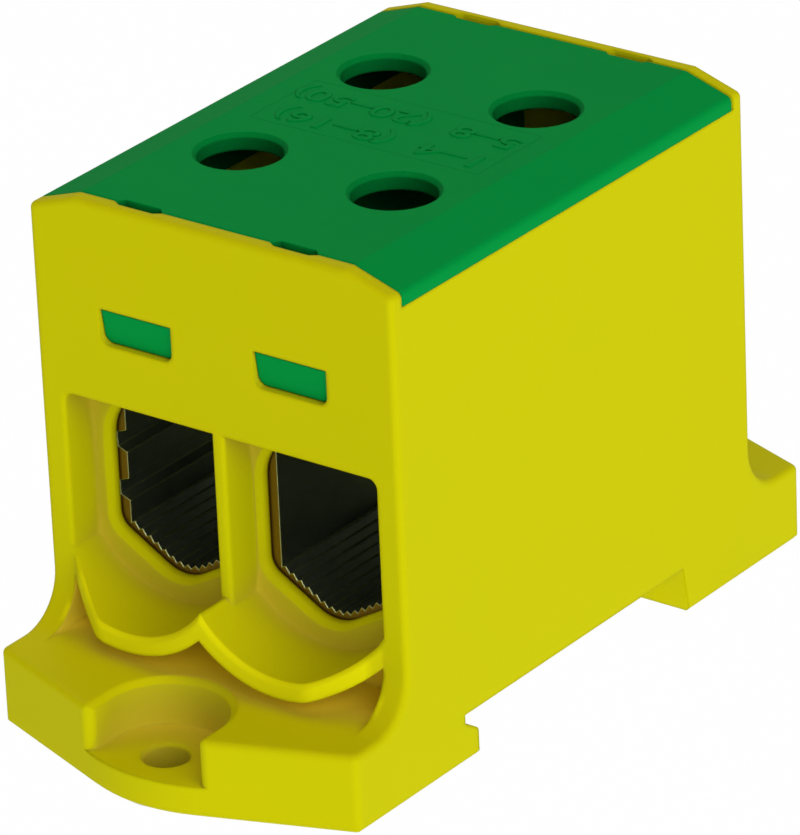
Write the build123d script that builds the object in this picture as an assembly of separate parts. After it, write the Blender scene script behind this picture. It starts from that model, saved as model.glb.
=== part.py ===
from build123d import *
import math
import os

# Two-pole power terminal block for a 35 mm rail or for panel screws. Millimetres.
# Origin at the middle of the base. +X runs across the block, +Y from the front
# entries to the rear entries, +Z up. The front entries face -Y.

# Outer body
body_width = 42.5
body_length = 57.0
body_height = 53.1
top_slope_run = 5.25
top_slope_drop = 1.7
lid_strip = 1.35
side_wall = 2.25
end_wall = 1.6
floor_thickness = 2.2
shoulder_round = 0.7
outer_edge_round = 0.6

# Feet
foot_height = 8.1
foot_corner_span = 73.6
nose_angle = 20.0
nose_radius = 17.0
foot_fillet = 5.0
foot_corner_round = 0.8
sole_edge_break = 0.4
pocket_radius = 6.3
pocket_floor = 3.2
pocket_edge_round = 0.9
pocket_rim_break = 0.6
foot_hole_span = 77.2
foot_hole_diameter = 4.5
foot_hole_break = 0.3
core_roof = 1.9
core_wall = 2.0
core_rib = 1.5
core_count = 2
core_boss_gap = 1.2

# Underside, for a 35 mm rail with 1 mm flanges
rail_width = 35.0
rail_flange = 1.0
rail_ceiling = 5.04
hook_depth = 2.05
hook_slot = 0.95
hook_tip_drop = 1.24
hook_tip_round = 0.8
rail_end_play = 0.3
rear_foot_clearance = 1.35
rear_foot_lean = 0.9
latch_width = 12.0
latch_leaf = 1.7
latch_slit = 0.9
latch_hook_reach = 1.5
latch_hook_gap = 0.25
latch_hook_land = 0.5
latch_foot_lift = 0.4

# Conductor entries
pole_inset = 0.48
entry_top_drop = 0.65
entry_depth = 4.2
entry_rib = 1.44
entry_side_plate = 2.81
entry_corner_round = 1.0
entry_edge_break = 0.3
collar_wall = 1.3
collar_side_gap = 1.0
collar_bed_gap = 0.4
collar_top_gap = 1.6
collar_top_radius = 5.0
collar_foot_radius = 2.0
collar_edge_break = 0.6
lip_radius = 11.4
lip_foot_gap = 1.1
lip_thickness = 1.8
lip_overhang = 4.4
lip_flat_width = 25.0
lip_corner_round = 2.5
lip_edge_break = 0.4
ceiling_thickness = 1.6

# Conductor bar
bar_clearance = 0.2
bar_head_room = 11.6
bar_floor = 2.45
bar_roof = 8.5
bar_web = 4.9
bar_edge = 0.6
bed_step = 2.75
bore_top_round = 2.0
bed_angle = 30.0
bed_round = 4.0
tooth_pitch = 1.0
tooth_height = 0.45
groove_shares = (0.25, 0.615)
groove_mouth = 2.3
groove_root = 1.5
groove_depth = 1.1
seat_rib_count = 3
seat_rib = 1.6
seat_rib_pitch = 15.0

# Clamp screws
screw_side_room = 0.7
thread_clearance = 0.05
screw_length = 20.0
screw_stand_out = 5.5
screw_tip_chamfer = 0.8
hex_across_flats = 6.05
hex_depth = 7.0

# Lid
lid_plate = 1.7
lid_gap = 0.12
driver_hole_diameter = 8.4
driver_hole_break = 0.4
skirt_depth = 6.9
skirt_thickness = 1.2
skirt_gap = 0.15
lid_edge_break = 0.2
latch_arm_width = 10.8
latch_arm_thickness = 1.3
latch_arm_tail = 1.27
window_width = 8.46
window_drop = 10.75
window_height = 3.68
window_round = 1.0
hook_side_gap = 0.12
hook_top_gap = 0.12
hook_foot_gap = 0.12
hook_face_setback = 0.15
hook_ramp = 0.5
rib_thickness = 1.6
rib_length = 32.0
rib_gap = 0.15
notch_width = 4.0
notch_slant = 0.8
notch_into_lid = 0.75
notch_into_wall = 0.5
notch_depth = 1.3

# Places worked out from the sizes above
half_w = body_width / 2
half_l = body_length / 2
flat_half = half_w - top_slope_run
shoulder_z = body_height - top_slope_drop
side_wall_top = shoulder_z - lid_strip
inner_x = half_w - side_wall
inner_y = half_l - end_wall
entry_x = half_w - entry_side_plate
pole_x = (entry_x + entry_rib / 2) / 2 - pole_inset
collar_y = half_l - entry_depth
well_y = collar_y - collar_wall
floor_top = rail_ceiling + floor_thickness
lip_bottom = foot_height + lip_foot_gap + lip_thickness
lip_centre_z = lip_bottom + lip_radius
lip_end_z = lip_centre_z - math.sqrt(lip_radius ** 2 - (entry_x - pole_x) ** 2)
ridge_z = lip_centre_z - math.sqrt(lip_radius ** 2 - (pole_x - entry_rib / 2) ** 2)
foot_corner_y = foot_corner_span / 2
foot_hole_y = foot_hole_span / 2
bar_half_x = inner_x - bar_clearance
bar_half_y = well_y - bar_clearance
bar_top = body_height - bar_head_room
bore_width = 2 * pole_x - bar_web
bore_bottom = lip_bottom + bed_step
bore_top = bar_top - bar_roof
bar_seat = bore_bottom - bar_floor
entry_top = bore_top - entry_top_drop
ceiling_top = entry_top + ceiling_thickness
screw_diameter = bore_width - 2 * screw_side_room
screw_top = bar_top + screw_stand_out
screw_y = bar_half_y / 2
lid_half_l = inner_y - lid_gap
skirt_x = inner_x - skirt_gap
lid_underside = body_height - lid_plate
window_top = body_height - window_drop
window_bottom = window_top - window_height
latch_arm_bottom = window_bottom - latch_arm_tail
hook_inner_y = -rail_width / 2 - rail_end_play - hook_depth
hook_tip_y = hook_inner_y + hook_depth
rear_foot_y = rail_width / 2 - rail_end_play - hook_depth + rear_foot_clearance
latch_back = rear_foot_y + rear_foot_lean + latch_leaf + latch_slit

# Reach of cuts that run right through, and sink of a piece into the one it joins
FAR = 200.0
SINK = 0.5
STANDING = (Align.CENTER, Align.CENTER, Align.MIN)


# Basic solids

def box(x0, x1, y0, y1, z0, z1):
    """Box between two corners."""
    middle = ((x0 + x1) / 2, (y0 + y1) / 2, (z0 + z1) / 2)
    return Pos(*middle) * Box(x1 - x0, y1 - y0, z1 - z0)


def upright(points, z0, z1):
    """Prism of a plan outline between two heights."""
    face = make_face(Polyline(*points, close=True))
    return extrude(Plane.XY.offset(z0) * face, amount=z1 - z0)


def along_y(face, y0, y1):
    """Prism of a face drawn in (x, z), from y0 to y1."""
    plane = Plane(origin=(0, y0, 0), x_dir=(1, 0, 0), z_dir=(0, -1, 0))
    return extrude(plane * face, amount=y0 - y1)


def along_x(face, x0, x1):
    """Prism of a face drawn in (y, z), from x0 to x1."""
    plane = Plane(origin=(x0, 0, 0), x_dir=(0, 1, 0), z_dir=(1, 0, 0))
    return extrude(plane * face, amount=x1 - x0)


def polygon(points):
    return make_face(Polyline(*points, close=True))


def turned(shape):
    """The same shape at the other end of the block."""
    return Rot(0, 0, 180) * shape


def edges_where(shape, test):
    return ShapeList([edge for edge in shape.edges() if test(edge)])


# Housing

def round_shoulders(face):
    """Round the two upper side corners of an end view."""
    corners = face.vertices().filter_by(
        lambda v: abs(abs(v.X) - half_w) < 0.01 and abs(v.Y - shoulder_z) < 0.01)
    return fillet(corners, shoulder_round)


def body_block():
    """The body's outer form, from end wall to end wall."""
    outline = polygon([(-half_w, 0), (-half_w, shoulder_z), (-flat_half, body_height),
                       (flat_half, body_height), (half_w, shoulder_z), (half_w, 0)])
    return along_y(round_shoulders(outline), -half_l, half_l)


def foot_outline():
    """Plan of both feet and the base between them, with a blunt nose at each end."""
    slope = math.tan(math.radians(nose_angle))
    tip_y = foot_corner_y + half_w * slope
    points = [(-half_w, -foot_corner_y), (0, -tip_y), (half_w, -foot_corner_y),
              (half_w, foot_corner_y), (0, tip_y), (-half_w, foot_corner_y)]
    face = polygon(points)
    tips = face.vertices().filter_by(lambda v: abs(v.X) < 0.01)
    face = fillet(tips, nose_radius)
    corners = face.vertices().filter_by(lambda v: abs(abs(v.X) - half_w) < 0.01)
    return fillet(corners, foot_corner_round)


def screw_pocket():
    """Pocket for the head of the front foot screw, open to the front, with its hole."""
    pocket = (Pos(0, -foot_hole_y) * Circle(pocket_radius)
              + Pos(0, -foot_hole_y - FAR / 2) * Rectangle(2 * pocket_radius, FAR))
    solid_part = foot_outline() - pocket
    mouths = solid_part.vertices().filter_by(
        lambda v: abs(abs(v.X) - pocket_radius) < 0.01 and v.Y < -foot_hole_y)
    opening = foot_outline() - fillet(mouths, pocket_edge_round)
    space = extrude(Plane.XY.offset(pocket_floor) * opening, amount=FAR)
    low, high = foot_height - pocket_rim_break, foot_height + pocket_rim_break
    wide = pocket_radius + 2 * pocket_rim_break
    rim = polygon([(-pocket_radius, low), (pocket_radius, low), (wide, high), (-wide, high)])
    space += along_y(rim, -FAR, -foot_hole_y)
    space += Pos(0, -foot_hole_y, low) * Cone(pocket_radius, wide, high - low, align=STANDING)
    radius = foot_hole_diameter / 2
    space += Pos(0, -foot_hole_y, 0) * Cylinder(radius, 2 * foot_height)
    return space + Pos(0, -foot_hole_y, pocket_floor - foot_hole_break) * Cone(
        radius, radius + 2 * foot_hole_break, 2 * foot_hole_break, align=STANDING)


def is_sole_edge(edge):
    """True for the outer edges of the underside."""
    spot = edge.position_at(0.5)
    on_side = abs(abs(spot.X) - half_w) < 0.01
    return abs(spot.Z) < 0.01 and (on_side or abs(spot.Y) > foot_corner_y - foot_corner_round)


def is_outer_edge(edge):
    """True for the edges round the end walls, down over the side plates and the feet."""
    spot = edge.position_at(0.5)
    along, across, up = abs(spot.Y), abs(spot.X), spot.Z
    on_side = abs(across - half_w) < 0.01 and along > half_l - 0.01 and up > foot_height - 0.01
    on_top = abs(along - half_l) < 0.01 and up > shoulder_z - shoulder_round - 0.01
    on_nose = abs(up - foot_height) < 0.01 and along > foot_corner_y - foot_corner_round
    return on_side or on_top or on_nose


def core_pockets(back):
    """Coring from below in the front foot, on both sides of the screw boss.

    Args:
        back: y of the wall behind the coring.
    """
    boss_x = pocket_radius + core_boss_gap
    pitch = (half_w - core_wall - boss_x + core_rib) / core_count
    slope = math.tan(math.radians(nose_angle))
    pockets = []
    for index in range(core_count):
        x0 = boss_x + index * pitch
        x1 = x0 + pitch - core_rib
        front = [-(foot_corner_y + (half_w - x) * slope - core_wall) for x in (x0, x1)]
        points = [(x0, back), (x0, front[0]), (x1, front[1]), (x1, back)]
        pocket = upright(points, -FAR, foot_height - core_roof)
        pockets += [pocket, mirror(pocket, Plane.YZ)]
    return pockets


def rail_recess():
    """Cut under the base: a hooked slot at the front, a leaning face at the rear."""
    tip_z = rail_ceiling - hook_slot - hook_tip_drop
    face = polygon([(hook_tip_y, -FAR), (hook_tip_y, tip_z),
                    (hook_inner_y, rail_ceiling - hook_slot), (hook_inner_y, rail_ceiling),
                    (rear_foot_y, rail_ceiling), (rear_foot_y + rear_foot_lean, 0),
                    (rear_foot_y + rear_foot_lean, -FAR)])
    tip = face.vertices().filter_by(lambda v: abs(v.Y - tip_z) < 0.01)
    return along_x(fillet(tip, hook_tip_round), -FAR, FAR)


def rail_latch():
    """Sprung leaf in the rear foot with a hook that catches the rail's edge.

    Returns:
        The slits to cut, and the leaf's hook to add.
    """
    half = latch_width / 2
    roof = foot_height - core_roof
    lean = rear_foot_lean
    behind = latch_back - latch_slit
    slits = [box(-half - latch_slit, half + latch_slit, behind, latch_back, -FAR, roof)]
    for side in (-1, 1):
        inner, outer = sorted((side * half, side * (half + latch_slit)))
        slits.append(box(inner, outer, 0, latch_back, -FAR, rail_ceiling))
    slits.append(box(-half, half, 0, latch_back, -FAR, latch_foot_lift))
    under_flange = rail_ceiling - rail_flange - latch_hook_gap
    nose = rear_foot_y - latch_hook_reach
    points = [(rear_foot_y + lean, under_flange), (nose, under_flange),
              (nose, under_flange - latch_hook_land), (rear_foot_y + lean, latch_foot_lift)]
    hook = along_x(polygon(points), -half, half)
    return slits, hook


def entry_face(side):
    """Funnel opening of one pole in (x, z): straight sides over a round floor."""
    x0, x1 = sorted((side * entry_rib / 2, side * entry_x))
    upper = Pos((x0 + x1) / 2, (lip_centre_z + entry_top) / 2) * Rectangle(
        x1 - x0, entry_top - lip_centre_z)
    corner = upper.vertices().filter_by(
        lambda v: abs(abs(v.X) - entry_x) < 0.01 and v.Y > entry_top - 0.01)
    upper = fillet(corner, entry_corner_round)
    lower = Pos(side * pole_x, lip_centre_z) * Circle(lip_radius)
    lower &= Pos((x0 + x1) / 2, lip_centre_z / 2) * Rectangle(x1 - x0, lip_centre_z)
    return upper + lower


def entry_recess():
    """Both funnels of the front end, back to the collars."""
    return [along_y(entry_face(side), -FAR, -collar_y) for side in (-1, 1)]


def lip_plan():
    """Plan outline of the funnel lips in front of the end wall."""
    front = -half_l - lip_overhang
    half_flat = lip_flat_width / 2
    face = polygon([(-entry_x, -collar_y), (-entry_x, -half_l), (-half_flat, front),
                    (half_flat, front), (entry_x, -half_l), (entry_x, -collar_y)])
    ends = face.vertices().filter_by(lambda v: abs(v.Y - front) < 0.01)
    return fillet(ends, lip_corner_round)


def is_lip_rim(edge):
    """True for the upper front edges of the lips."""
    middle = edge.center()
    spot = edge.position_at(0.5)
    reach = math.hypot(abs(spot.X) - pole_x, spot.Z - lip_centre_z)
    return abs(reach - lip_radius) < 0.01 and middle.Y < -half_l and abs(spot.X) > 0.01


def entry_lips():
    """The two round troughs that carry the funnels out over the foot."""
    outer = None
    for side in (-1, 1):
        disc = Pos(side * pole_x, lip_centre_z) * Circle(lip_radius + lip_thickness)
        outer = disc if outer is None else outer + disc
    outer &= Pos(0, lip_end_z / 2) * Rectangle(2 * entry_x, lip_end_z)
    for side in (-1, 1):
        outer -= Pos(side * pole_x, lip_centre_z) * Circle(lip_radius)
    trough = along_y(outer, -half_l - lip_overhang, -collar_y)
    trough &= extrude(lip_plan(), amount=body_height)
    return chamfer(edges_where(trough, is_lip_rim), lip_edge_break)


def under_lips():
    """Open space between the side plates, over the foot and under the lips."""
    return box(-entry_x, entry_x, -FAR, -collar_y, foot_height, ridge_z)


def bed_height(x):
    """Height of the smooth conductor bed, x from the middle of its pole."""
    angle = math.radians(bed_angle)
    tangent = bed_round * math.sin(angle)
    if abs(x) <= tangent:
        return bore_bottom + bed_round - math.sqrt(bed_round ** 2 - x ** 2)
    at_tangent = bore_bottom + bed_round * (1 - math.cos(angle))
    return at_tangent + (abs(x) - tangent) * math.tan(angle)


def collar_face(side):
    """Opening in the collar of one pole in (x, z), a little wider than the bore."""
    half = bore_width / 2 + collar_side_gap
    angle = math.radians(bed_angle)
    bed_tip = bore_bottom - bed_round * (1 / math.cos(angle) - 1)
    lowest = bed_tip - collar_bed_gap / math.cos(angle)
    corner = lowest + half * math.tan(angle)
    top = bore_top - collar_top_gap
    face = polygon([(0, lowest), (half, corner), (half, top), (-half, top), (-half, corner)])
    face = fillet(face.vertices().filter_by(lambda v: v.Y > top - 0.01), collar_top_radius)
    low = face.vertices().filter_by(lambda v: abs(v.Y - corner) < 0.01)
    face = fillet(low, collar_foot_radius)
    tip = face.vertices().filter_by(lambda v: v.Y < lowest + 0.01)
    face = fillet(tip, bed_round + collar_bed_gap)
    return Pos(side * pole_x, 0) * face


def collar_openings():
    """Openings of both poles, through both end walls."""
    return [along_y(collar_face(side), -half_l, half_l) for side in (-1, 1)]


def is_entry_edge(edge):
    """True for the front edges of the funnels: sides, rib and top."""
    middle = edge.center()
    at_front = abs(abs(middle.Y) - half_l) < 0.01 and abs(middle.X) < entry_x + 0.01
    return at_front and lip_end_z + 0.01 < middle.Z < entry_top + 0.01


def is_collar_edge(edge):
    """True for the outer edges of the openings in the collars."""
    spot = edge.position_at(0.5)
    half = bore_width / 2 + collar_side_gap
    across = abs(abs(spot.X) - pole_x)
    at_collar = abs(abs(spot.Y) - collar_y) < 0.01 and across < half + 0.01
    in_funnel = math.hypot(across, spot.Z - lip_centre_z) < lip_radius - 0.01
    return at_collar and in_funnel and spot.Z < entry_top - 0.01


def latch_windows():
    """Windows for the lid's hooks, through both end walls."""
    middle_z = (window_top + window_bottom) / 2
    face = Rectangle(window_width, window_top - window_bottom)
    low = face.vertices().filter_by(lambda v: v.Y < 0)
    face = fillet(low, window_round)
    cuts = []
    for side in (-1, 1):
        cuts.append(along_y(Pos(side * pole_x, middle_z) * face, -FAR, FAR))
    return cuts


def pry_notch(side, inner, outer):
    """Slot with slanted ends over a latch, from the joint line inward and outward."""
    x = side * pole_x
    half = notch_width / 2
    y = -inner_y
    points = [(x - half, y + inner), (x + half, y + inner),
              (x + half + notch_slant, y), (x + half, y - outer),
              (x - half, y - outer), (x - half - notch_slant, y)]
    return upright(points, body_height - notch_depth, FAR)


def seat_ribs():
    """Cross ribs on the floor that carry the bar."""
    ribs = []
    for index in range(seat_rib_count):
        y = (index - (seat_rib_count - 1) / 2) * seat_rib_pitch
        ribs.append(box(-inner_x, inner_x, y - seat_rib / 2, y + seat_rib / 2,
                        floor_top, bar_seat))
    return ribs


def make_housing():
    """The housing moulding: body, feet, funnels, rail hook and rail latch."""
    shell = body_block() + extrude(foot_outline(), amount=foot_height)
    for end in (lambda s: s, turned):
        shell -= end(under_lips())
        for funnel in entry_recess():
            shell -= end(funnel)
    joints = edges_where(
        shell,
        lambda e: abs(abs(e.center().Y) - half_l) < 0.01
        and abs(e.center().Z - foot_height) < 0.01)
    shell = fillet(joints, foot_fillet)
    shell = fillet(edges_where(shell, is_outer_edge), outer_edge_round)
    shell = chamfer(edges_where(shell, is_sole_edge), sole_edge_break)
    shell = chamfer(edges_where(shell, is_entry_edge), entry_edge_break)
    shell -= [screw_pocket(), turned(screw_pocket())]
    shell -= collar_openings()
    shell = chamfer(edges_where(shell, is_collar_edge), collar_edge_break)
    well = box(-inner_x, inner_x, -well_y, well_y, floor_top, FAR)
    head = box(-inner_x, inner_x, -inner_y, inner_y, ceiling_top, FAR)
    rim = box(-FAR, FAR, -inner_y, inner_y, side_wall_top, FAR)
    shell -= [well, head, rim]
    for end in (lambda s: s, turned):
        shell += end(entry_lips())
    shell -= latch_windows()
    for side in (-1, 1):
        notch = pry_notch(side, 0.0, notch_into_wall)
        shell -= [notch, turned(notch)]
    shell -= core_pockets(hook_inner_y - core_wall)
    for pocket in core_pockets(-latch_back - core_wall):
        shell -= turned(pocket)
    shell -= rail_recess()
    slits, hook = rail_latch()
    shell -= slits
    shell += hook
    shell += seat_ribs()
    return shell


# Lid

def lid_section():
    """End view of the lid in (x, z)."""
    slope = top_slope_drop / top_slope_run
    inner_side = skirt_x - skirt_thickness
    skirt_bottom = body_height - skirt_depth
    inner_shoulder = body_height - (inner_side - flat_half) * slope - lid_plate
    right = [(flat_half, body_height), (half_w, shoulder_z), (half_w, side_wall_top),
             (skirt_x, side_wall_top), (skirt_x, skirt_bottom), (inner_side, skirt_bottom),
             (inner_side, inner_shoulder), (flat_half, lid_underside)]
    left = [(-x, z) for x, z in reversed(right)]
    return polygon(right + left)


def is_roof_rim(edge):
    """True for the end edges of the lid's upper outline."""
    spot = edge.position_at(0.5)
    roof = body_height - max(abs(spot.X) - flat_half, 0) * top_slope_drop / top_slope_run
    at_end = abs(abs(spot.Y) - lid_half_l) < 0.01
    on_shoulder = abs(spot.X) > half_w - shoulder_round and spot.Z > shoulder_z - shoulder_round
    return at_end and (spot.Z > roof - 0.01 or on_shoulder)


def latch_hook(x):
    """Hook that fills a window: upright at the top, with a ramp down its face."""
    top = window_top - hook_top_gap
    foot = window_bottom + hook_foot_gap
    width = window_width - 2 * hook_side_gap
    face = Pos(x, (top + foot) / 2) * Rectangle(width, top - foot)
    low = face.vertices().filter_by(lambda v: v.Y < foot + 0.01)
    face = fillet(low, window_round - hook_side_gap)
    block = along_y(face, -half_l, -lid_half_l + SINK)
    front = -half_l + hook_face_setback
    ramp = [(front, top), (front + hook_ramp, foot), (0, foot), (0, top)]
    return block & along_x(polygon(ramp), -FAR, FAR)


def latch_arm(side):
    """One front latch arm with its hook."""
    x = side * pole_x
    outer_y = -lid_half_l
    arm = box(x - latch_arm_width / 2, x + latch_arm_width / 2,
              outer_y, outer_y + latch_arm_thickness, latch_arm_bottom, lid_underside + SINK)
    low = edges_where(arm, lambda e: e.center().Z < latch_arm_bottom + 0.01
                      and abs(e.center().Y - outer_y) > latch_arm_thickness / 2)
    arm = chamfer(low, latch_arm_thickness / 2)
    return arm + latch_hook(x)


def driver_holes():
    """Holes in the lid over the clamp screws."""
    holes = []
    for side in (-1, 1):
        for end in (-1, 1):
            place = Pos(side * pole_x, end * screw_y, body_height)
            holes.append(place * Cylinder(driver_hole_diameter / 2, 4 * lid_plate))
    return holes


def make_lid():
    """The snap-in lid with its skirts, latch arms and the rib over the bar."""
    lid = along_y(round_shoulders(lid_section()), -lid_half_l, lid_half_l)
    lid = chamfer(edges_where(lid, is_roof_rim), lid_edge_break)
    lid += box(-rib_thickness / 2, rib_thickness / 2, -rib_length / 2, rib_length / 2,
               bar_top + rib_gap, lid_underside + SINK)
    for side in (-1, 1):
        arm = latch_arm(side)
        lid += [arm, turned(arm)]
    lid -= driver_holes()
    for side in (-1, 1):
        notch = pry_notch(side, notch_into_lid, FAR)
        lid -= [notch, turned(notch)]
    rims = edges_where(
        lid,
        lambda e: e.geom_type == GeomType.CIRCLE and abs(e.center().Z - body_height) < 0.01
        and abs(e.radius - driver_hole_diameter / 2) < 0.01)
    return chamfer(rims, driver_hole_break)


# Conductor bar

def bed_points():
    """Serrated bed across one bore, from left to right, as (x, z) points."""
    half = bore_width / 2
    run = 2 * half / math.cos(math.radians(bed_angle))
    count = int(run / tooth_pitch)
    step = 2 * half / count
    points = []
    for index in range(count):
        x = -half + index * step
        points.append((x, bed_height(x)))
        middle = x + step / 2
        points.append((middle, bed_height(middle) + tooth_height))
    points.append((half, bed_height(half)))
    return points


def bore_face(side):
    """Section of one bore: serrated bed, two grooves in the outer wall, round top."""
    half = bore_width / 2
    top = bore_top
    low = bed_height(half)
    wall = []
    for share in groove_shares:
        z = low + share * (top - bore_top_round - low)
        wall += [(half, z - groove_mouth / 2), (half + groove_depth, z - groove_root / 2),
                 (half + groove_depth, z + groove_root / 2), (half, z + groove_mouth / 2)]
    face = polygon(bed_points() + wall + [(half, top), (-half, top)])
    corners = face.vertices().filter_by(lambda v: v.Y > top - 0.01)
    face = fillet(corners, bore_top_round)
    if side < 0:
        face = mirror(face, Plane.YZ)
    return Pos(side * pole_x, 0) * face


def make_bar():
    """The extruded bar with two bores, drilled and tapped from above."""
    middle = (bar_seat + bar_top) / 2
    section = Pos(0, middle) * Rectangle(2 * bar_half_x, bar_top - bar_seat)
    section = chamfer(section.vertices(), bar_edge)
    for side in (-1, 1):
        section -= bore_face(side)
    bar = along_y(section, -bar_half_y, bar_half_y)
    radius = screw_diameter / 2 + thread_clearance
    for side in (-1, 1):
        for end in (-1, 1):
            place = Pos(side * pole_x, end * screw_y, 0)
            bar -= place * Pos(0, 0, bore_top - bore_top_round) * Cylinder(
                radius, FAR, align=STANDING)
    return bar


# Clamp screws

def make_screw(x, y):
    """Hexagon-socket clamp screw, drawn back so that the bore is open."""
    radius = screw_diameter / 2
    bottom = screw_top - screw_length
    screw = Pos(x, y, (screw_top + bottom) / 2) * Cylinder(radius, screw_length)
    tip = edges_where(screw, lambda e: e.center().Z < bottom + 0.01)
    screw = chamfer(tip, screw_tip_chamfer)
    socket = RegularPolygon(hex_across_flats / 2, 6, major_radius=False)
    plane = Plane.XY.offset(screw_top - hex_depth)
    return screw - extrude(plane * (Pos(x, y) * socket), amount=FAR)


def save(shape, node):
    export_step(shape, f"parts/{node}.step")


os.makedirs("parts", exist_ok=True)
save(make_housing(), "housing")
save(make_lid(), "lid")
save(make_bar(), "conductor_bar")
for end_name, end_sign in (("front", -1), ("rear", 1)):
    for side_name, side_sign in (("left", -1), ("right", 1)):
        screw = make_screw(side_sign * pole_x, end_sign * screw_y)
        save(screw, f"clamp_screw_{end_name}_{side_name}")
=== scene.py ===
import logging
import math
from dataclasses import dataclass
from enum import Enum

import bpy
from mathutils import Matrix, Vector


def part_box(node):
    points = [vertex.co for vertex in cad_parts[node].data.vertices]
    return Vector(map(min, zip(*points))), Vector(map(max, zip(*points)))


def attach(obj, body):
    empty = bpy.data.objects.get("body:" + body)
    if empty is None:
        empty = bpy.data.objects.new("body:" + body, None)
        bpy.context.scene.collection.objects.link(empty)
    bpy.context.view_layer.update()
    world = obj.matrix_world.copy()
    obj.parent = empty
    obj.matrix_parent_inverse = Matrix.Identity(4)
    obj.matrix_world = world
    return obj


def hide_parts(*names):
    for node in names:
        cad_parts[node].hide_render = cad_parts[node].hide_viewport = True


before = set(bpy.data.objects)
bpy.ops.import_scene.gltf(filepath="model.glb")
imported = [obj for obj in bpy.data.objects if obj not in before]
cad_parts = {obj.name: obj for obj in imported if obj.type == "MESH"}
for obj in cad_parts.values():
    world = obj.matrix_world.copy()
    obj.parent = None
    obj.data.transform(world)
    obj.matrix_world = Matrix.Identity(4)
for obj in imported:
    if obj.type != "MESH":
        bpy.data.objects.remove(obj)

# Two-pole power terminal block. Lengths are in metres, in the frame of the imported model.
MM = 0.001
LOG = logging.getLogger("terminal_block")
NOISE_MIDDLE = 0.5
NOISE_ROUGHNESS = 0.55
CORNER_RAYS = 8
EDGE_RAYS = 6

Colour = tuple[float, float, float]
Socket = bpy.types.NodeSocket


class Slot(Enum):
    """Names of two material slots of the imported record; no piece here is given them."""

    LID = "lid_plastic"
    SCREW = "screw_steel"


class End(Enum):
    """The two ends of the block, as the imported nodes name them."""

    FRONT = "front"
    REAR = "rear"


class Side(Enum):
    """The two poles of the block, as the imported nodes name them."""

    LEFT = "left"
    RIGHT = "right"


# Shader recipes

@dataclass(frozen=True)
class Signal:
    """A number inside a shader; arithmetic on it adds Math nodes."""

    recipe: "Recipe"
    socket: Socket

    def __add__(self, other: "Signal | float") -> "Signal":
        """Adds a number or a signal."""
        return self.recipe.math("ADD", self, other)

    def __radd__(self, other: float) -> "Signal":
        """Adds this signal to a number."""
        return self.recipe.math("ADD", other, self)

    def __sub__(self, other: "Signal | float") -> "Signal":
        """Takes a number or a signal away."""
        return self.recipe.math("SUBTRACT", self, other)

    def __rsub__(self, other: float) -> "Signal":
        """Takes this signal away from a number."""
        return self.recipe.math("SUBTRACT", other, self)

    def __mul__(self, other: "Signal | float") -> "Signal":
        """Multiplies by a number or a signal."""
        return self.recipe.math("MULTIPLY", self, other)

    def __abs__(self) -> "Signal":
        """Drops the sign."""
        return self.recipe.math("ABSOLUTE", self)

    def above(self, edge: float, blur: float) -> "Signal":
        """Goes from 0 to 1 as the signal passes an edge.

        Args:
            edge: Value at which the result is one half.
            blur: Width of the change.

        Returns:
            A mask from 0 to 1.
        """
        return self.recipe.clamp((self - (edge - blur / 2)) * (1 / blur))


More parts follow.
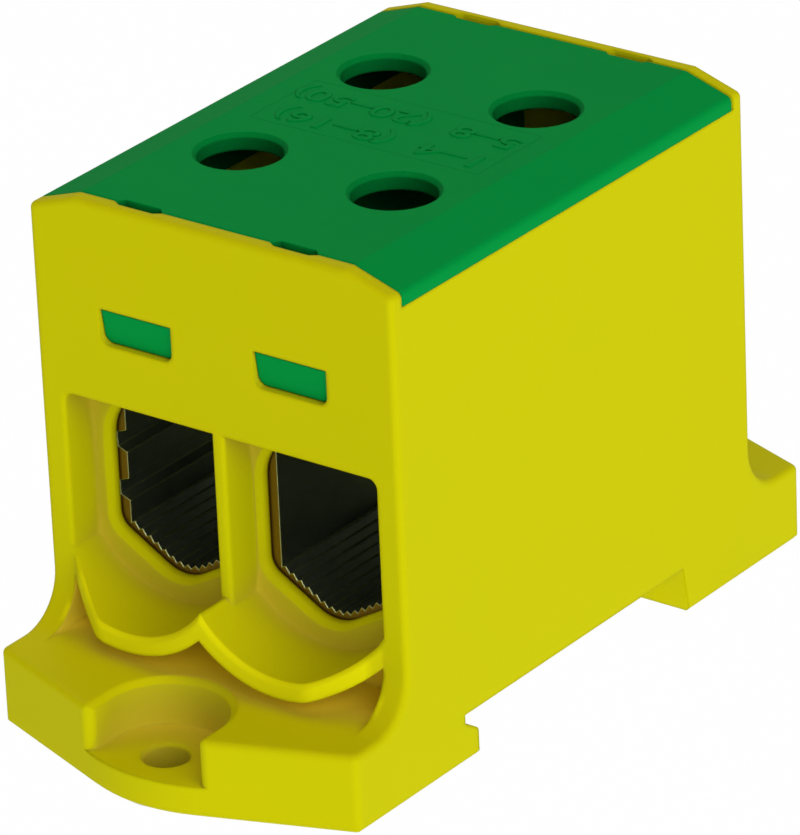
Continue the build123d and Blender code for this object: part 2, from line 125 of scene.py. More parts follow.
class Recipe:
    """The node tree of one material."""

    def __init__(self, name: str) -> None:
        """Starts a material with an empty tree and a principled shader.

        Args:
            name: Name of the material.
        """
        self.material = bpy.data.materials.new(name)
        self.material.use_nodes = True
        self.tree = self.material.node_tree
        self.tree.nodes.clear()
        self.shader = self.node("ShaderNodeBsdfPrincipled")
        self.output = self.node(
            "ShaderNodeOutputMaterial", inputs={"Surface": self.shader.outputs["BSDF"]})
        self.place = self.node("ShaderNodeTexCoord").outputs["Object"]

    def node(self, kind: str, settings: dict | None = None,
             inputs: dict | None = None) -> bpy.types.Node:
        """Adds one node.

        Args:
            kind: Node type.
            settings: Properties, set before the inputs.
            inputs: Values, sockets or signals, by input name or number.

        Returns:
            The new node.
        """
        node = self.tree.nodes.new(kind)
        for name, value in (settings or {}).items():
            setattr(node, name, value)
        for key, value in (inputs or {}).items():
            self.feed(node.inputs[key], value)
        return node

    def feed(self, socket: Socket, value: object) -> None:
        """Links a socket or signal to an input, or sets the input's own value.

        Args:
            socket: Input to feed.
            value: Signal, socket, colour or plain value.
        """
        if isinstance(value, Signal):
            value = value.socket
        if isinstance(value, Socket):
            self.tree.links.new(value, socket)
        elif isinstance(value, tuple) and socket.type == "RGBA":
            socket.default_value = (*value, 1)
        else:
            socket.default_value = value

    def math(self, operation: str, *terms: "Signal | float") -> Signal:
        """Adds a Math node over one or two terms."""
        node = self.node("ShaderNodeMath", {"operation": operation}, dict(enumerate(terms)))
        return Signal(self, node.outputs[0])

    def clamp(self, signal: Signal) -> Signal:
        """Keeps a signal between 0 and 1."""
        node = self.node("ShaderNodeClamp", inputs={"Value": signal})
        return Signal(self, node.outputs[0])

    def split(self, vector: Socket) -> tuple[Signal, Signal, Signal]:
        """Splits a vector into x, y and z."""
        parts = self.node("ShaderNodeSeparateXYZ", inputs={0: vector})
        return tuple(Signal(self, socket) for socket in parts.outputs)

    def axes(self) -> tuple[Signal, Signal, Signal]:
        """The place on the object along x, y and z, in metres."""
        return self.split(self.place)

    def noise(self, size: Colour, detail: float = 2.0) -> Signal:
        """Cloudy noise.

        Args:
            size: Size of a cloud along x, y and z, in metres.
            detail: Number of finer layers.

        Returns:
            A signal around NOISE_MIDDLE.
        """
        scale = tuple(1 / length for length in size)
        spread = self.node("ShaderNodeMapping", inputs={"Vector": self.place, "Scale": scale})
        cloud = self.node("ShaderNodeTexNoise", inputs={
            "Vector": spread.outputs[0], "Scale": 1.0, "Detail": detail,
            "Roughness": NOISE_ROUGHNESS})
        return Signal(self, cloud.outputs[0])

    def tint(self, low: Colour | Socket, high: Colour | Socket, share: Signal) -> Socket:
        """Mixes two colours, fixed or from a node, by a signal."""
        node = self.node("ShaderNodeMix", {"data_type": "RGBA"}, {0: share, 6: low, 7: high})
        return node.outputs[2]

    def relief(self, height: Signal, depth: float, under: Socket) -> Socket:
        """Turns a height from 0 to 1 into a bumped normal.

        Args:
            height: Height signal.
            depth: Height of a full step, in metres.
            under: Normal that this relief lies on.

        Returns:
            The normal.
        """
        bump = self.node("ShaderNodeBump", inputs={
            "Height": height, "Distance": depth, "Strength": 1.0, "Normal": under})
        return bump.outputs[0]

    def open_share(self, reach: float) -> Signal:
        """How open a spot lies among the faces of its own piece.

        Args:
            reach: Distance within which a face counts, in metres.

        Returns:
            1 on a free face, near 0 far into a corner.
        """
        node = self.node("ShaderNodeAmbientOcclusion",
                         {"samples": CORNER_RAYS, "only_local": True}, {"Distance": reach})
        return Signal(self, node.outputs["AO"])

    def rounded(self, radius: float) -> Socket:
        """The normal with every edge rounded off to a radius, in metres."""
        edges = self.node("ShaderNodeBevel", {"samples": EDGE_RAYS}, {"Radius": radius})
        return edges.outputs[0]

    def face_normal(self) -> Socket:
        """The normal of the mesh itself."""
        return self.node("ShaderNodeNewGeometry").outputs["Normal"]

    def turned(self, rounded: Socket) -> Signal:
        """How far a rounded normal turns away from the face, from 0 on."""
        along = self.node("ShaderNodeVectorMath", {"operation": "DOT_PRODUCT"},
                          {0: rounded, 1: self.face_normal()})
        return 1.0 - Signal(self, along.outputs["Value"])

    def open_from_behind(self) -> None:
        """Lets the eye through the surface from its back."""
        behind = self.node("ShaderNodeNewGeometry").outputs["Backfacing"]
        clear = self.node("ShaderNodeBsdfTransparent").outputs[0]
        choose = self.node("ShaderNodeMixShader", inputs={
            0: behind, 1: self.shader.outputs["BSDF"], 2: clear})
        self.feed(self.output.inputs["Surface"], choose.outputs[0])

    def finish(self, **inputs: object) -> bpy.types.Material:
        """Feeds the principled shader.

        Args:
            inputs: What goes into each input, with underscores for the spaces in its name.

        Returns:
            The finished material.
        """
        for name, value in inputs.items():
            self.feed(self.shader.inputs[name.replace("_", " ")], value)
        return self.material


@dataclass(frozen=True)
class PaintedRimLight:
    """Painted light on end faces of thin lips, which let light through; and where they lie on
    the block.
    """

    colour: Colour
    within_x: float
    beyond_y: float
    above_z: float
    blur: float = 0.5 * MM
    facing: float = 0.55
    facing_blur: float = 0.3

    def mask(self, recipe: Recipe) -> Signal:
        """Marks the faces of the lips that look towards an end of the block.

        Args:
            recipe: Material that wears the rims.

        Returns:
            1 on the rims, 0 elsewhere.
        """
        x, y, z = recipe.axes()
        _, along, _ = recipe.split(recipe.face_normal())
        facing = abs(along).above(self.facing, self.facing_blur)
        between = 1 - abs(x).above(self.within_x, self.blur)
        outside = abs(y).above(self.beyond_y, self.blur) * z.above(self.above_z, self.blur)
        return facing * between * outside


@dataclass(frozen=True)
class MouldedPlastic:
    """Satin moulded plastic with a fine spark-eroded grain.

    Light comes through the real plastic; its colour carries painted shade in its recesses
    and a painted corner tone far into its corners, by how open a spot lies on its own piece.
    """

    name: str
    colour: Colour
    cloudy: Colour
    recess_painted_shade: Colour
    corner_painted_glow_and_shade: Colour
    sheen: Colour
    roughness: float = 0.44
    grain_gloss: float = 0.12
    cloud_gloss: float = 0.10
    specular: float = 0.02
    refraction: float = 1.5
    corner_reach: float = 12.0 * MM
    open_at: float = 0.60
    open_blur: float = 0.3
    recess_shade_at: float = 0.35
    recess_shade_blur: float = 0.4
    edge_round: float = 0.65 * MM
    grain: float = 0.22 * MM
    grain_depth: float = 0.005 * MM
    sink: float = 9.0 * MM
    sink_depth: float = 0.03 * MM
    cloud: float = 14.0 * MM
    cloud_blur: float = 0.5
    rims: PaintedRimLight | None = None

    def build(self) -> bpy.types.Material:
        """Makes the material.

        Returns:
            The plastic.
        """
        recipe = Recipe(self.name)
        cloud = recipe.noise((self.cloud,) * 3, detail=3.0)
        grain = recipe.noise((self.grain,) * 3)
        sink = recipe.noise((self.sink,) * 3, detail=1.0)
        wavy = recipe.relief(sink, self.sink_depth, recipe.rounded(self.edge_round))
        skin = recipe.tint(self.colour, self.cloudy, cloud.above(NOISE_MIDDLE, self.cloud_blur))
        # Painted shade in recesses, and a painted corner tone far into corners, by how open a
        # spot lies.
        openness = recipe.open_share(self.corner_reach)
        inner = recipe.tint(
            self.corner_painted_glow_and_shade, self.recess_painted_shade, openness.above(self.recess_shade_at, self.recess_shade_blur))
        whole = recipe.tint(inner, skin, openness.above(self.open_at, self.open_blur))
        # Painted light: the lips' end faces turn paler, standing in for light coming through
        # the thin lips.
        if self.rims:
            whole = recipe.tint(whole, self.rims.colour, self.rims.mask(recipe))
        uneven = ((grain - NOISE_MIDDLE) * self.grain_gloss
                  + (cloud - NOISE_MIDDLE) * self.cloud_gloss)
        return recipe.finish(
            Base_Color=whole,
            Roughness=self.roughness + uneven,
            Normal=recipe.relief(grain, self.grain_depth, wavy),
            Specular_IOR_Level=self.specular,
            Specular_Tint=self.sheen,
            IOR=self.refraction)


@dataclass(frozen=True)
class ExtrudedBar:
    """Plated metal drawn along y, with sawn ends, and edges painted pale: a painted highlight,
    partly wear.
    """

    name: str
    colour: Colour
    dull: Colour
    cut: Colour
    bright: Colour
    end_plane: float
    end_blur: float = 0.04 * MM
    patch: Colour = (5 * MM, 9 * MM, 5 * MM)
    patch_at: float = 0.52
    patch_blur: float = 0.3
    line: float = 0.12 * MM
    line_length: float = 30.0 * MM
    line_depth: float = 0.010 * MM
    edge_round: float = 0.2 * MM
    edge_highlight_at: float = 0.08
    edge_highlight_blur: float = 0.10
    roughness: float = 0.24
    line_gloss: float = 0.16
    cut_gloss: float = 0.12

    def build(self) -> bpy.types.Material:
        """Makes the material, with the bare metal of the saw cut at both ends.

        Returns:
            The metal.
        """
        recipe = Recipe(self.name)
        drawn = recipe.noise((self.line, self.line_length, self.line), detail=3.0)
        sawn = recipe.noise((self.line_length, self.line, self.line * 2), detail=3.0)
        patch = recipe.noise(self.patch)
        at_end = abs(recipe.axes()[1]).above(self.end_plane, self.end_blur)
        lines = drawn * (1 - at_end) + sawn * at_end
        flank = recipe.tint(
            self.colour, self.dull, patch.above(self.patch_at, self.patch_blur))
        face = recipe.tint(flank, self.cut, at_end)
        rounded = recipe.rounded(self.edge_round)
        # Painted highlight: edges turn pale where the rounded normal turns away, partly wear of
        # the plating.
        edge_highlight_and_wear = recipe.turned(rounded).above(self.edge_highlight_at, self.edge_highlight_blur)
        return recipe.finish(
            Base_Color=recipe.tint(face, self.bright, edge_highlight_and_wear),
            Metallic=1.0,
            Roughness=self.roughness + lines * self.line_gloss + at_end * self.cut_gloss,
            Normal=recipe.relief(lines, self.line_depth, rounded))


@dataclass(frozen=True)
class PlatedSteel:
    """Zinc-plated steel, turned, with light handling marks."""

    name: str
    colour: Colour
    dull: Colour
    patch: float = 2.5 * MM
    patch_blur: float = 0.35
    mark: float = 0.5 * MM
    mark_depth: float = 0.008 * MM
    edge_round: float = 0.15 * MM
    roughness: float = 0.26
    patch_gloss: float = 0.18

    def build(self) -> bpy.types.Material:
        """Makes the material.

        Returns:
            The steel.
        """
        recipe = Recipe(self.name)
        patch = recipe.noise((self.patch,) * 3, detail=3.0)
        mark = recipe.noise((self.mark, self.mark, self.mark / 4), detail=3.0)
        return recipe.finish(
            Base_Color=recipe.tint(
                self.colour, self.dull, patch.above(NOISE_MIDDLE, self.patch_blur)),
            Metallic=1.0,
            Roughness=self.roughness + patch * self.patch_gloss,
            Normal=recipe.relief(mark, self.mark_depth, recipe.rounded(self.edge_round)))


@dataclass(frozen=True)
class LightTable:
    """White floor that glows from below, so that nothing casts a shadow on it.

    It carries a painted shadow where the foot holes stand over it.
    """

    name: str = "light_table"
    white: Colour = (1.0, 1.0, 1.0)
    pale: Colour = (0.99, 0.99, 0.99)
    shaded: Colour = (0.08, 0.08, 0.07)
    fibre: float = 1.5 * MM
    hole_y: float = 38.6 * MM
    shade_radius: float = 4.4 * MM
    shade_blur: float = 0.4 * MM

    def build(self) -> bpy.types.Material:
        """Makes the material.

        Returns:
            The glowing white, clear from below.
        """
        recipe = Recipe(self.name)
        recipe.open_from_behind()
        x, y, _ = recipe.axes()
        off_hole = abs(y) - self.hole_y
        away = recipe.math("SQRT", x * x + off_hole * off_hole)
        paper = recipe.tint(self.white, self.pale, recipe.noise((self.fibre,) * 3))
        return recipe.finish(
            Base_Color=(0.0, 0.0, 0.0),
            Roughness=0.9,
            Specular_IOR_Level=0.0,
            # Painted shadow: the glow turns dark round each foot hole.
            Emission_Color=recipe.tint(
                self.shaded, paper, away.above(self.shade_radius, self.shade_blur)),
            Emission_Strength=1.0)


# Mesh bench

class Bench:
    """Modelling by operators, one piece at a time."""

    @staticmethod
    def clear() -> None:
        """Leaves edit mode and deselects everything."""
        if bpy.context.object and bpy.context.object.mode != "OBJECT":
            bpy.ops.object.mode_set(mode="OBJECT")
        bpy.ops.object.select_all(action="DESELECT")

    @staticmethod
    def named(name: str) -> bpy.types.Object:
        """Names the active object and its data.

        Args:
            name: Name for both.

        Returns:
            The object.
        """
        piece = bpy.context.object
        piece.name = name
        piece.data.name = name
        return piece

    @staticmethod
    def only(*pieces: bpy.types.Object) -> None:
        """Selects these pieces alone.

        Args:
            pieces: What to select; the first one becomes active.
        """
        Bench.clear()
        for piece in pieces:
            piece.select_set(True)
        bpy.context.view_layer.objects.active = pieces[0]

    @staticmethod
    def edit_all(piece: bpy.types.Object) -> None:
        """Opens a piece's mesh for editing, with all of it selected.

        Args:
            piece: Piece to edit; the caller goes back to object mode.
        """
        Bench.only(piece)
        bpy.ops.object.mode_set(mode="EDIT")
        bpy.ops.mesh.select_all(action="SELECT")

    @staticmethod
    def apply_modifiers(piece: bpy.types.Object) -> None:
        """Applies every modifier of a piece, in order.

        Args:
            piece: Piece with its modifiers.
        """
        Bench.only(piece)
        for modifier in list(piece.modifiers):
            bpy.ops.object.modifier_apply(modifier=modifier.name)

    @staticmethod
    def settle(piece: bpy.types.Object) -> None:
        """Puts a piece's place, turn and scale into its mesh."""
        Bench.only(piece)
        bpy.ops.object.transform_apply(location=True, rotation=True, scale=True)

    @staticmethod
    def cut(piece: bpy.types.Object, cutter: bpy.types.Object) -> None:
        """Takes a cutter's volume out of a piece.

        Args:
            piece: Piece to cut.
            cutter: Closed mesh, deleted afterwards.
        """
        step = piece.modifiers.new("cut", "BOOLEAN")
        step.operation = "DIFFERENCE"
        step.solver = "EXACT"
        step.object = cutter
        Bench.apply_modifiers(piece)
        bpy.data.objects.remove(cutter)

    @staticmethod
    def smooth(piece: bpy.types.Object, angle_deg: float) -> None:
        """Shades a piece smooth, with edges sharper than an angle kept."""
        Bench.only(piece)
        bpy.ops.object.shade_smooth_by_angle(angle=math.radians(angle_deg))


def place_piece(piece: bpy.types.Object, body: str,
                material: bpy.types.Material) -> None:
    """Gives a new piece its finish and the body it moves with.

    Args:
        piece: Finished piece.
        body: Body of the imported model.
        material: Finish.
    """
    piece.data.materials.clear()
    piece.data.materials.append(material)
    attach(piece, body)
    LOG.info("piece %s rides on %s", piece.name, body)


def dress_node(name: str, material: bpy.types.Material) -> None:
    """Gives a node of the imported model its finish.

    Args:
        name: Name of the node.
        material: Finish.
    """
    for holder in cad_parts[name].material_slots:
        holder.material = material
    LOG.info("node %s wears %s", name, material.name)


# Sub-assemblies

@dataclass
class Housing:
    """The yellow moulding."""

    # Painted shade darkens its recesses, and a painted warm glow lightens it far into corners.
    finish: MouldedPlastic = MouldedPlastic(
        name="yellow_plastic", colour=(0.645, 0.615, 0.002), cloudy=(0.635, 0.62, 0.002),
        recess_painted_shade=(0.48, 0.41, 0.022), corner_painted_glow_and_shade=(0.95, 0.77, 0.05), sheen=(1.0, 0.95, 0.15),
        rims=PaintedRimLight(colour=(0.80, 0.77, 0.003), within_x=19.0 * MM, beyond_y=29.3 * MM,
                     above_z=8.9 * MM))
    node: str = "housing"

    def dress(self) -> None:
        """Puts the yellow plastic on."""
        dress_node(self.node, self.finish.build())


@dataclass
class Lid:
    """The green lid with the raised numbers between its holes."""

    # Painted shade darkens its recesses and the walls of its holes nearly to black.
    finish: MouldedPlastic = MouldedPlastic(
        name="green_plastic", colour=(0.0015, 0.320, 0.053), cloudy=(0.001, 0.308, 0.052),
        recess_painted_shade=(0.001, 0.070, 0.014), corner_painted_glow_and_shade=(0.0005, 0.012, 0.003), sheen=(0.10, 1.0, 0.30),
        specular=0.012, open_at=0.84, edge_round=0.30 * MM)
    node: str = "lid"
    body: str = "block"
    rows: tuple[str, ...] = ("1\u20134  (8\u201316)", "5\u20138  (20\u201350)")
    row_places: tuple[float, ...] = (-1.9 * MM, 3.3 * MM)
    row_end: float = 12.9 * MM
    row_lengths: tuple[float, ...] = (23.9 * MM, 26.2 * MM)
    glyph_size: float = 3.6 * MM
    glyph_steps: int = 6
    raised: float = 0.04 * MM
    rounded: float = 0.06 * MM
    round_steps: int = 2
    smooth_deg: float = 40.0
    insert_width: float = 27.0 * MM
    insert_depth: float = 10.6 * MM
    insert_middle: tuple[float, float] = (0.0, 1.0 * MM)
    seam_width: float = 0.10 * MM
    seam_height: float = 0.010 * MM

    def dress(self) -> None:
        """Puts the green plastic on the lid and adds what is raised on it."""
        plastic = self.finish.build()
        dress_node(self.node, plastic)
        for index in range(len(self.rows)):
            place_piece(self.number_row(index), self.body, plastic)
        place_piece(self.insert_seam(), self.body, plastic)

    def top(self) -> float:
        """Height of the lid's flat top."""
        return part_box(self.node)[1].z

    def number_row(self, index: int) -> bpy.types.Object:
        """One row of raised numbers, read from the rear.

        Args:
            index: Number of the row, from 0.

        Returns:
            The row as one mesh.
        """
        Bench.clear()
        bpy.ops.object.text_add()
        row = Bench.named(f"raised_numbers_{index + 1}")
        row.data.body = self.rows[index]
        row.data.size = self.glyph_size
        row.data.align_x = "LEFT"
        row.data.align_y = "CENTER"
        row.data.extrude = self.raised
        row.data.bevel_depth = self.rounded
        row.data.bevel_resolution = self.round_steps
        row.data.resolution_u = self.glyph_steps
        bpy.ops.object.convert(target="MESH")
        row = bpy.context.object
        row.scale.x = self.row_lengths[index] / row.dimensions.x
        row.rotation_euler.z = math.pi
        row.location = (self.row_end, self.row_places[index], self.top())
        Bench.settle(row)
        Bench.smooth(row, self.smooth_deg)
        return row

    def insert_seam(self) -> bpy.types.Object:
        """The faint raised line that a mould insert leaves round the numbers.

        Returns:
            The line as one closed strip.
        """
        Bench.clear()
        x, y = self.insert_middle
        bpy.ops.mesh.primitive_plane_add(size=1, location=(x, y, self.top()))
        seam = Bench.named("insert_seam")
        seam.scale = (self.insert_width, self.insert_depth, 1)
        Bench.settle(seam)
        Bench.edit_all(seam)
        bpy.ops.mesh.inset(thickness=self.seam_width)
        bpy.ops.mesh.delete(type="FACE")
        bpy.ops.mesh.select_all(action="SELECT")
        bpy.ops.mesh.extrude_region_move(
            TRANSFORM_OT_translate={"value": (0, 0, self.seam_height)})
        bpy.ops.mesh.select_all(action="SELECT")
        bpy.ops.mesh.normals_make_consistent(inside=False)
        bpy.ops.object.mode_set(mode="OBJECT")
        return seam


@dataclass
class ConductorBar:
    """The extruded bar with the two serrated bores."""

    node: str = "conductor_bar"
    cut_depth: float = 0.05 * MM

    def dress(self) -> None:
        """Puts the plated metal on."""
        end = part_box(self.node)[1].y
        finish = ExtrudedBar(
            name="plated_bar", colour=(0.46, 0.51, 0.43), dull=(0.39, 0.44, 0.36),
            cut=(0.34, 0.22, 0.06), bright=(0.78, 0.88, 0.42), end_plane=end - self.cut_depth)
        dress_node(self.node, finish.build())


@dataclass
class ClampScrews:
    """The four threaded clamp screws with hexagon sockets."""

    finish: PlatedSteel = PlatedSteel(
        name="plated_steel", colour=(0.60, 0.60, 0.58), dull=(0.46, 0.46, 0.45))
    turns_deg: tuple[float, ...] = (0.0, 23.0, 41.0, 11.0)
    steps: int = 48
    pitch: float = 1.75 * MM
    thread_share: float = 0.613
    crest_share: float = 0.125
    root_share: float = 0.98
    root_cover: float = 0.02 * MM
    tuck: float = 0.05 * MM
    merge: float = 0.002 * MM
    socket_flats: float = 6.05 * MM
    socket_depth: float = 7.0 * MM
    socket_point: float = 1.2 * MM
    point_overlap: float = 0.01 * MM
    lead: float = 0.5 * MM
    tip_round: float = 0.3 * MM
    tip_steps: int = 3
    smooth_deg: float = 35.0

    def dress(self) -> None:
        """Models one screw and puts a copy in the place of each solid one."""
        steel = self.finish.build()
        low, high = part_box(self.node(End.FRONT, Side.LEFT))
        pattern = self.screw(low, high)
        turns_deg = iter(self.turns_deg)
        for end in End:
            for side in Side:
                node = self.node(end, side)
                screw = self.copy_at(pattern, node, next(turns_deg), (low + high) / 2)
                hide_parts(node)
                place_piece(screw, node.replace("clamp_", ""), steel)
        bpy.data.objects.remove(pattern)

    @staticmethod
    def node(end: End, side: Side) -> str:
        """Name of the solid screw at one end and side."""
        return f"clamp_screw_{end.value}_{side.value}"

    def screw(self, low: Vector, high: Vector) -> bpy.types.Object:
        """A screw in the box of a solid one.

        Args:
            low: Lowest corner of the solid screw.
            high: Highest corner of the solid screw.

        Returns:
            The threaded screw.
        """
        radius = (high.x - low.x) / 2
        core_radius = radius - self.pitch * self.thread_share
        middle = (low + high) / 2
        core = self.core(middle, core_radius, high.z - low.z)
        self.cut_socket(core, middle, high.z)
        coil = self.coil(middle, radius, core_radius, low.z, high.z)
        Bench.only(core, coil)
        bpy.ops.object.join()
        Bench.smooth(core, self.smooth_deg)
        return core

    def core(self, middle: Vector, radius: float, length: float) -> bpy.types.Object:
        """The screw's shank at its thread root, with rounded ends.

        Args:
            middle: Middle of the screw.
            radius: Radius at the root.
            length: Length of the screw.

        Returns:
            The shank.
        """
        Bench.clear()
        bpy.ops.mesh.primitive_cylinder_add(
            vertices=self.steps, radius=radius + self.root_cover, depth=length, location=middle)
        core = Bench.named("screw_pattern")
        Bench.settle(core)
        round_ends = core.modifiers.new("round_ends", "BEVEL")
        round_ends.width = self.tip_round
        round_ends.segments = self.tip_steps
        round_ends.limit_method = "ANGLE"
        Bench.apply_modifiers(core)
        return core

    def cut_socket(self, core: bpy.types.Object, middle: Vector, top: float) -> None:
        """Cuts the hexagon socket, its drill point and its lead-in.

        Args:
            core: Shank to cut.
            middle: Middle of the screw.
            top: Height of the head.
        """
        corner = self.socket_flats / 2 / math.cos(math.pi / 6)
        Bench.clear()
        bpy.ops.mesh.primitive_cylinder_add(
            vertices=6, radius=corner, depth=2 * self.socket_depth,
            location=(middle.x, middle.y, top))
        Bench.cut(core, Bench.named("socket_cutter"))
        Bench.clear()
        floor = top - self.socket_depth
        bpy.ops.mesh.primitive_cone_add(
            vertices=self.steps, radius1=0, radius2=self.socket_flats / 2,
            depth=self.socket_point,
            location=(middle.x, middle.y, floor - self.socket_point / 2 + self.point_overlap))
        Bench.cut(core, Bench.named("point_cutter"))
        Bench.clear()
        bpy.ops.mesh.primitive_cone_add(
            vertices=self.steps, radius1=corner - self.lead, radius2=corner + self.lead,
            depth=2 * self.lead, location=(middle.x, middle.y, top))
        Bench.cut(core, Bench.named("lead_cutter"))

    def coil(self, middle: Vector, radius: float, core_radius: float,
             bottom: float, top: float) -> bpy.types.Object:
        """The thread ridge, wound round the shank and run out at both ends.

        Args:
            middle: Middle of the screw.
            radius: Radius over the crests.
            core_radius: Radius at the root.
            bottom: Height of the tip.
            top: Height of the head.

        Returns:
            The ridge as one coil, closed but for its run-out ends.
        """
        Bench.clear()
        bpy.ops.mesh.primitive_plane_add(size=1, location=(0, 0, 0))
        coil = Bench.named("thread_coil")
        crest = self.pitch * self.crest_share / 2
        root = self.pitch * self.root_share / 2
        inner = core_radius - self.tuck
        corners = [(inner, -root), (radius, -crest), (inner, root), (radius, crest)]
        for vertex, (x, z) in zip(coil.data.vertices, corners):
            vertex.co = Vector((x, 0, z))
        wind = coil.modifiers.new("wind", "SCREW")
        wind.axis = "Z"
        wind.screw_offset = self.pitch
        wind.iterations = math.ceil((top - bottom) / self.pitch) + 1
        wind.steps = self.steps
        wind.render_steps = self.steps
        Bench.apply_modifiers(coil)
        coil.location = (middle.x, middle.y, bottom - self.pitch / 2)
        Bench.settle(coil)
        self.run_out(coil, middle, radius, core_radius, bottom, top)
        return coil

    def run_out(self, coil: bpy.types.Object, middle: Vector, radius: float,
                core_radius: float, bottom: float, top: float) -> None:
        """Lets the ridge die away into the shank at both ends.

        Args:
            coil: The wound ridge, longer than the screw at both ends.
            middle: Middle of the screw.
            radius: Radius over the crests.
            core_radius: Radius at the root.
            bottom: Height of the tip.
            top: Height of the head.
        """
        depth = radius - core_radius
        for vertex in coil.data.vertices:
            axis = Vector((middle.x, middle.y, vertex.co.z))
            spot = vertex.co - axis
            end_distance = min(vertex.co.z - bottom, top - vertex.co.z)
            sunk = min(depth + self.tuck, max(0.0, depth - end_distance))
            axis.z = min(max(vertex.co.z, bottom + self.tuck), top - self.tuck)
            vertex.co = axis + spot * min(1.0, (radius - sunk) / spot.length)
        Bench.edit_all(coil)
        bpy.ops.mesh.remove_doubles(threshold=self.merge)
        bpy.ops.mesh.dissolve_degenerate(threshold=self.merge)
        bpy.ops.object.mode_set(mode="OBJECT")

    @staticmethod
    def copy_at(pattern: bpy.types.Object, node: str, turn_deg: float,
                pattern_middle: Vector) -> bpy.types.Object:
        """A copy of the pattern screw in a solid screw's place.

        Args:
            pattern: Screw to copy.
            node: Name of the solid screw.
            turn_deg: Turn about the screw's axis.
            pattern_middle: Middle of the pattern.

        Returns:
            The copy, its place in its mesh.
        """
        low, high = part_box(node)
        copy = bpy.data.objects.new(f"threaded_{node}", pattern.data.copy())
        bpy.context.scene.collection.objects.link(copy)
        move = (Matrix.Translation((low + high) / 2)
                @ Matrix.Rotation(math.radians(turn_deg), 4, "Z")
                @ Matrix.Translation(-pattern_middle))
        copy.data.transform(move)
        return copy


# Studio

def direction(azimuth_deg: float, elevation_deg: float) -> Vector:
    """Direction from the object towards a place round it.

    Args:
        azimuth_deg: Angle round the object; 0 is the front and 90 the right.
        elevation_deg: Angle above the floor.

    Returns:
        Unit vector.
    """
    azimuth, elevation = math.radians(azimuth_deg), math.radians(elevation_deg)
    return Vector((math.sin(azimuth) * math.cos(elevation),
                   -math.cos(azimuth) * math.cos(elevation), math.sin(elevation)))


@dataclass(frozen=True)
class SoftSun:
    """A very wide, even light from one direction, mirrored by shiny faces or not."""

    name: str
    azimuth_deg: float
    elevation_deg: float
    strength: float
    spread_deg: float
    colour: Colour = (1.0, 1.0, 1.0)
    mirrored: bool = True

    def add(self) -> None:
        """Puts the light in the scene."""
        lamp = bpy.data.lights.new(self.name, "SUN")
        lamp.energy = self.strength
        lamp.color = self.colour
        lamp.angle = math.radians(self.spread_deg)
        holder = bpy.data.objects.new(self.name, lamp)
        holder.rotation_mode = "QUATERNION"
        holder.rotation_quaternion = direction(
            self.azimuth_deg, self.elevation_deg).to_track_quat("Z", "Y")
        holder.visible_glossy = self.mirrored
        bpy.context.scene.collection.objects.link(holder)


@dataclass(frozen=True)
class PhotoCamera:
    """The camera of the photograph."""

    name: str = "photo_camera"
    azimuth_deg: float = 37.54
    elevation_deg: float = 25.23
    roll_deg: float = -2.53
    distance: float = 710.37 * MM
    aim_height: float = 23.098 * MM
    aim_right: float = -0.1525 * MM
    aim_up: float = -0.2272 * MM
    focal_px: float = 7335.0
    frame_px: tuple[int, int] = (800, 835)
    sensor_mm: float = 36.0
    nearest: float = 0.05
    farthest: float = 50.0

    def add(self) -> None:
        """Puts the camera in the scene."""
        back = direction(self.azimuth_deg, self.elevation_deg)
        right = Vector((0, 0, 1)).cross(back).normalized()
        up = back.cross(right)
        roll = math.radians(self.roll_deg)
        rolled_right = right * math.cos(roll) + up * math.sin(roll)
        rolled_up = up * math.cos(roll) - right * math.sin(roll)
        aim = Vector((0, 0, self.aim_height)) + right * self.aim_right + up * self.aim_up
        lens = bpy.data.cameras.new(self.name)
        lens.sensor_width = self.sensor_mm
        lens.lens = self.focal_px * self.sensor_mm / max(self.frame_px)
        lens.clip_start = self.nearest
        lens.clip_end = self.farthest
        camera = bpy.data.objects.new(self.name, lens)
        turn = Matrix((rolled_right, rolled_up, back)).transposed().to_4x4()
        camera.matrix_world = Matrix.Translation(aim + back * self.distance) @ turn
        bpy.context.scene.collection.objects.link(camera)
        bpy.context.scene.camera = camera


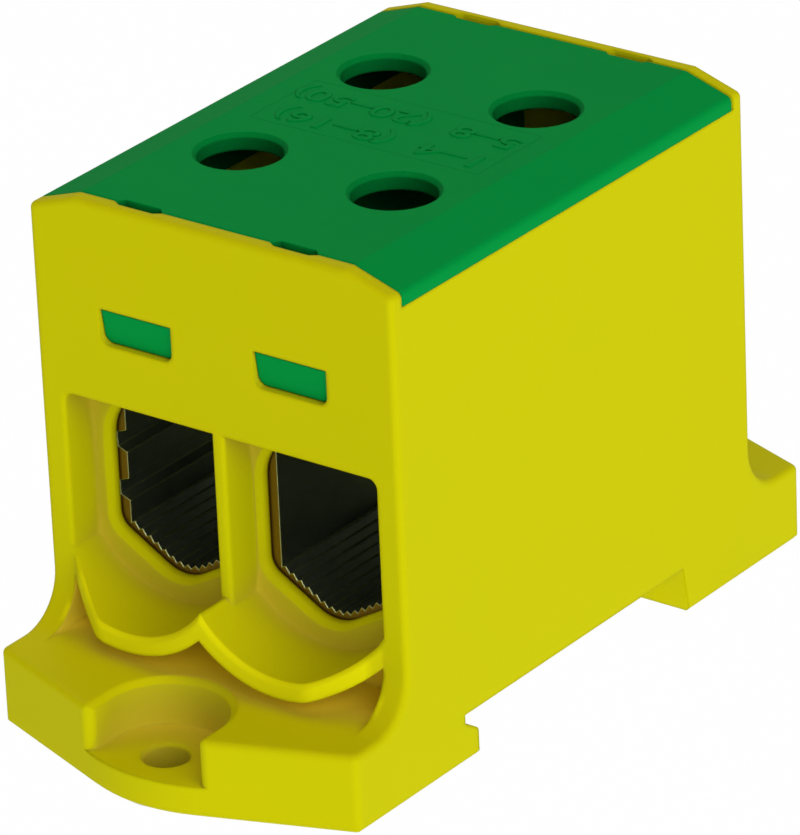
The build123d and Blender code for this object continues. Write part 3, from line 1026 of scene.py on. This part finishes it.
@dataclass
class Studio:
    """Glowing floor, soft light and the camera."""

    floor_size: float = 30.0
    floor_drop: float = 0.02 * MM
    ambient: float = 0.21
    backdrop: float = 1.0
    suns: tuple[SoftSun, ...] = (
        SoftSun("key_light", azimuth_deg=62, elevation_deg=17, strength=1.70, spread_deg=60),
        SoftSun("top_light", azimuth_deg=10, elevation_deg=80, strength=0.60, spread_deg=40,
                colour=(1.0, 0.74, 0.70)),
        SoftSun("rear_fill", azimuth_deg=228, elevation_deg=14, strength=1.1, spread_deg=60,
                mirrored=False),
    )

    def set_up(self) -> None:
        """Builds the studio."""
        self.add_floor()
        self.add_air()
        for sun in self.suns:
            sun.add()
        PhotoCamera().add()
        bpy.context.scene.view_settings.view_transform = "Standard"
        LOG.info("studio with %d lights", len(self.suns))

    def add_floor(self) -> None:
        """Lays the floor under the feet, out of sight of shiny faces."""
        Bench.clear()
        bpy.ops.mesh.primitive_plane_add(
            size=self.floor_size, location=(0, 0, -self.floor_drop))
        floor = Bench.named("studio_floor")
        floor.data.materials.append(LightTable().build())
        floor.visible_glossy = False

    def add_air(self) -> None:
        """Gives dim light all round, and a white sky where the camera looks past the floor."""
        world = bpy.data.worlds.new("studio_air")
        bpy.context.scene.world = world
        world.use_nodes = True
        tree = world.node_tree
        tree.nodes.clear()
        light, sky = (tree.nodes.new("ShaderNodeBackground") for _ in range(2))
        for background, strength in ((light, self.ambient), (sky, self.backdrop)):
            background.inputs["Strength"].default_value = strength
            background.inputs["Color"].default_value = (1, 1, 1, 1)
        path = tree.nodes.new("ShaderNodeLightPath")
        choose = tree.nodes.new("ShaderNodeMixShader")
        output = tree.nodes.new("ShaderNodeOutputWorld")
        tree.links.new(path.outputs["Is Camera Ray"], choose.inputs[0])
        tree.links.new(light.outputs[0], choose.inputs[1])
        tree.links.new(sky.outputs[0], choose.inputs[2])
        tree.links.new(choose.outputs[0], output.inputs["Surface"])


def main() -> None:
    """Dresses the terminal block piece by piece and sets up the studio."""
    logging.basicConfig(level=logging.INFO, format="%(name)s: %(message)s")
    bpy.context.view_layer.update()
    Housing().dress()
    Lid().dress()
    ConductorBar().dress()
    ClampScrews().dress()
    Studio().set_up()


if __name__ == "__main__":
    main()
